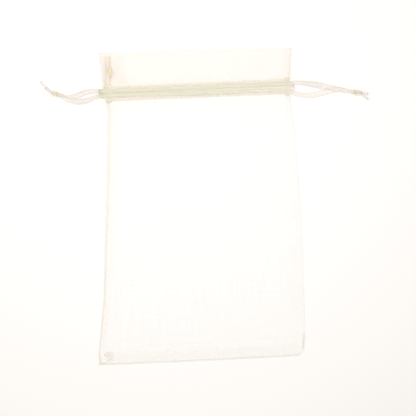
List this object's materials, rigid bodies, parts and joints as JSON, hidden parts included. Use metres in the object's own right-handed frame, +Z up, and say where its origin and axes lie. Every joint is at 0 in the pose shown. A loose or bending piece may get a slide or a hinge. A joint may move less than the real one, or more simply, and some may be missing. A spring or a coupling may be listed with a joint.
{
  "type": "drawstring gift pouch",
  "caption": "Flat pouch of sheer ivory organza with a doubled header, a stitched casing and narrow ribbons that pull out to the left and right to close its mouth.",
  "frame": {"origin": "under the middle of the pouch's cloth, on the surface it lies on", "axes": "+X to the pouch's right, +Y from the bottom seam to the mouth, +Z up from the back panel to the front panel"},
  "size_m": [0.1594, 0.1512, 0.0084],
  "materials": {
    "organza": "sheer ivory organza with a slight sheen",
    "organza_hem": "sheer ivory organza, folded double",
    "thread": "cream polyester sewing thread",
    "ribbon": "narrow ivory satin ribbon with woven edges"
  },
  "bodies": {
    "pouch": {"back_panel": "organza", "front_panel": "organza", "side_seam_allowance": "organza_hem", "bottom_seam_allowance": "organza_hem", "side_seam_stitching": "thread", "bottom_seam_stitching": "thread", "front_lower_stitches": "thread", "front_upper_stitches": "thread", "back_lower_stitches": "thread", "back_upper_stitches": "thread"},
    "neck_left": {"front_hem_left": "organza_hem", "back_hem_left": "organza_hem", "left_neck_seam": "organza_hem", "left_mouth_tacks": "thread", "seam_end_thread": "thread"},
    "neck_right": {"front_hem_right": "organza_hem", "back_hem_right": "organza_hem", "right_neck_fold": "organza", "right_mouth_tacks": "thread"},
    "drawstring_left": {"left_ribbon": "ribbon", "left_knot": "ribbon", "left_tails": "ribbon"},
    "drawstring_right": {"right_ribbon": "ribbon", "right_knot": "ribbon", "right_tails": "ribbon"}
  },
  "joints": [
    {"name": "drawstring_left_pull", "type": "slide", "parent": "pouch", "child": "drawstring_left", "axis": [-1, 0, 0], "range_m": [0, 0.032]},
    {"name": "drawstring_right_pull", "type": "slide", "parent": "pouch", "child": "drawstring_right", "axis": [1, 0, 0], "range_m": [0, 0.032]},
    {"name": "neck_right_gather", "type": "slide", "parent": "pouch", "child": "neck_right", "axis": [-1, 0, 0], "range_m": [0, 0.032], "deforming": ["front_hem_right", "back_hem_right", "right_neck_fold", "right_mouth_tacks"]},
    {"name": "neck_left_gather", "type": "slide", "parent": "pouch", "child": "neck_left", "axis": [1, 0, 0], "range_m": [0, 0.032], "deforming": ["front_hem_left", "back_hem_left", "left_neck_seam", "left_mouth_tacks", "seam_end_thread"]}
  ],
  "couplings": [
    {"joint": "neck_right_gather", "follows": "drawstring_left_pull", "ratio": 1},
    {"joint": "neck_left_gather", "follows": "drawstring_right_pull", "ratio": 1}
  ]
}
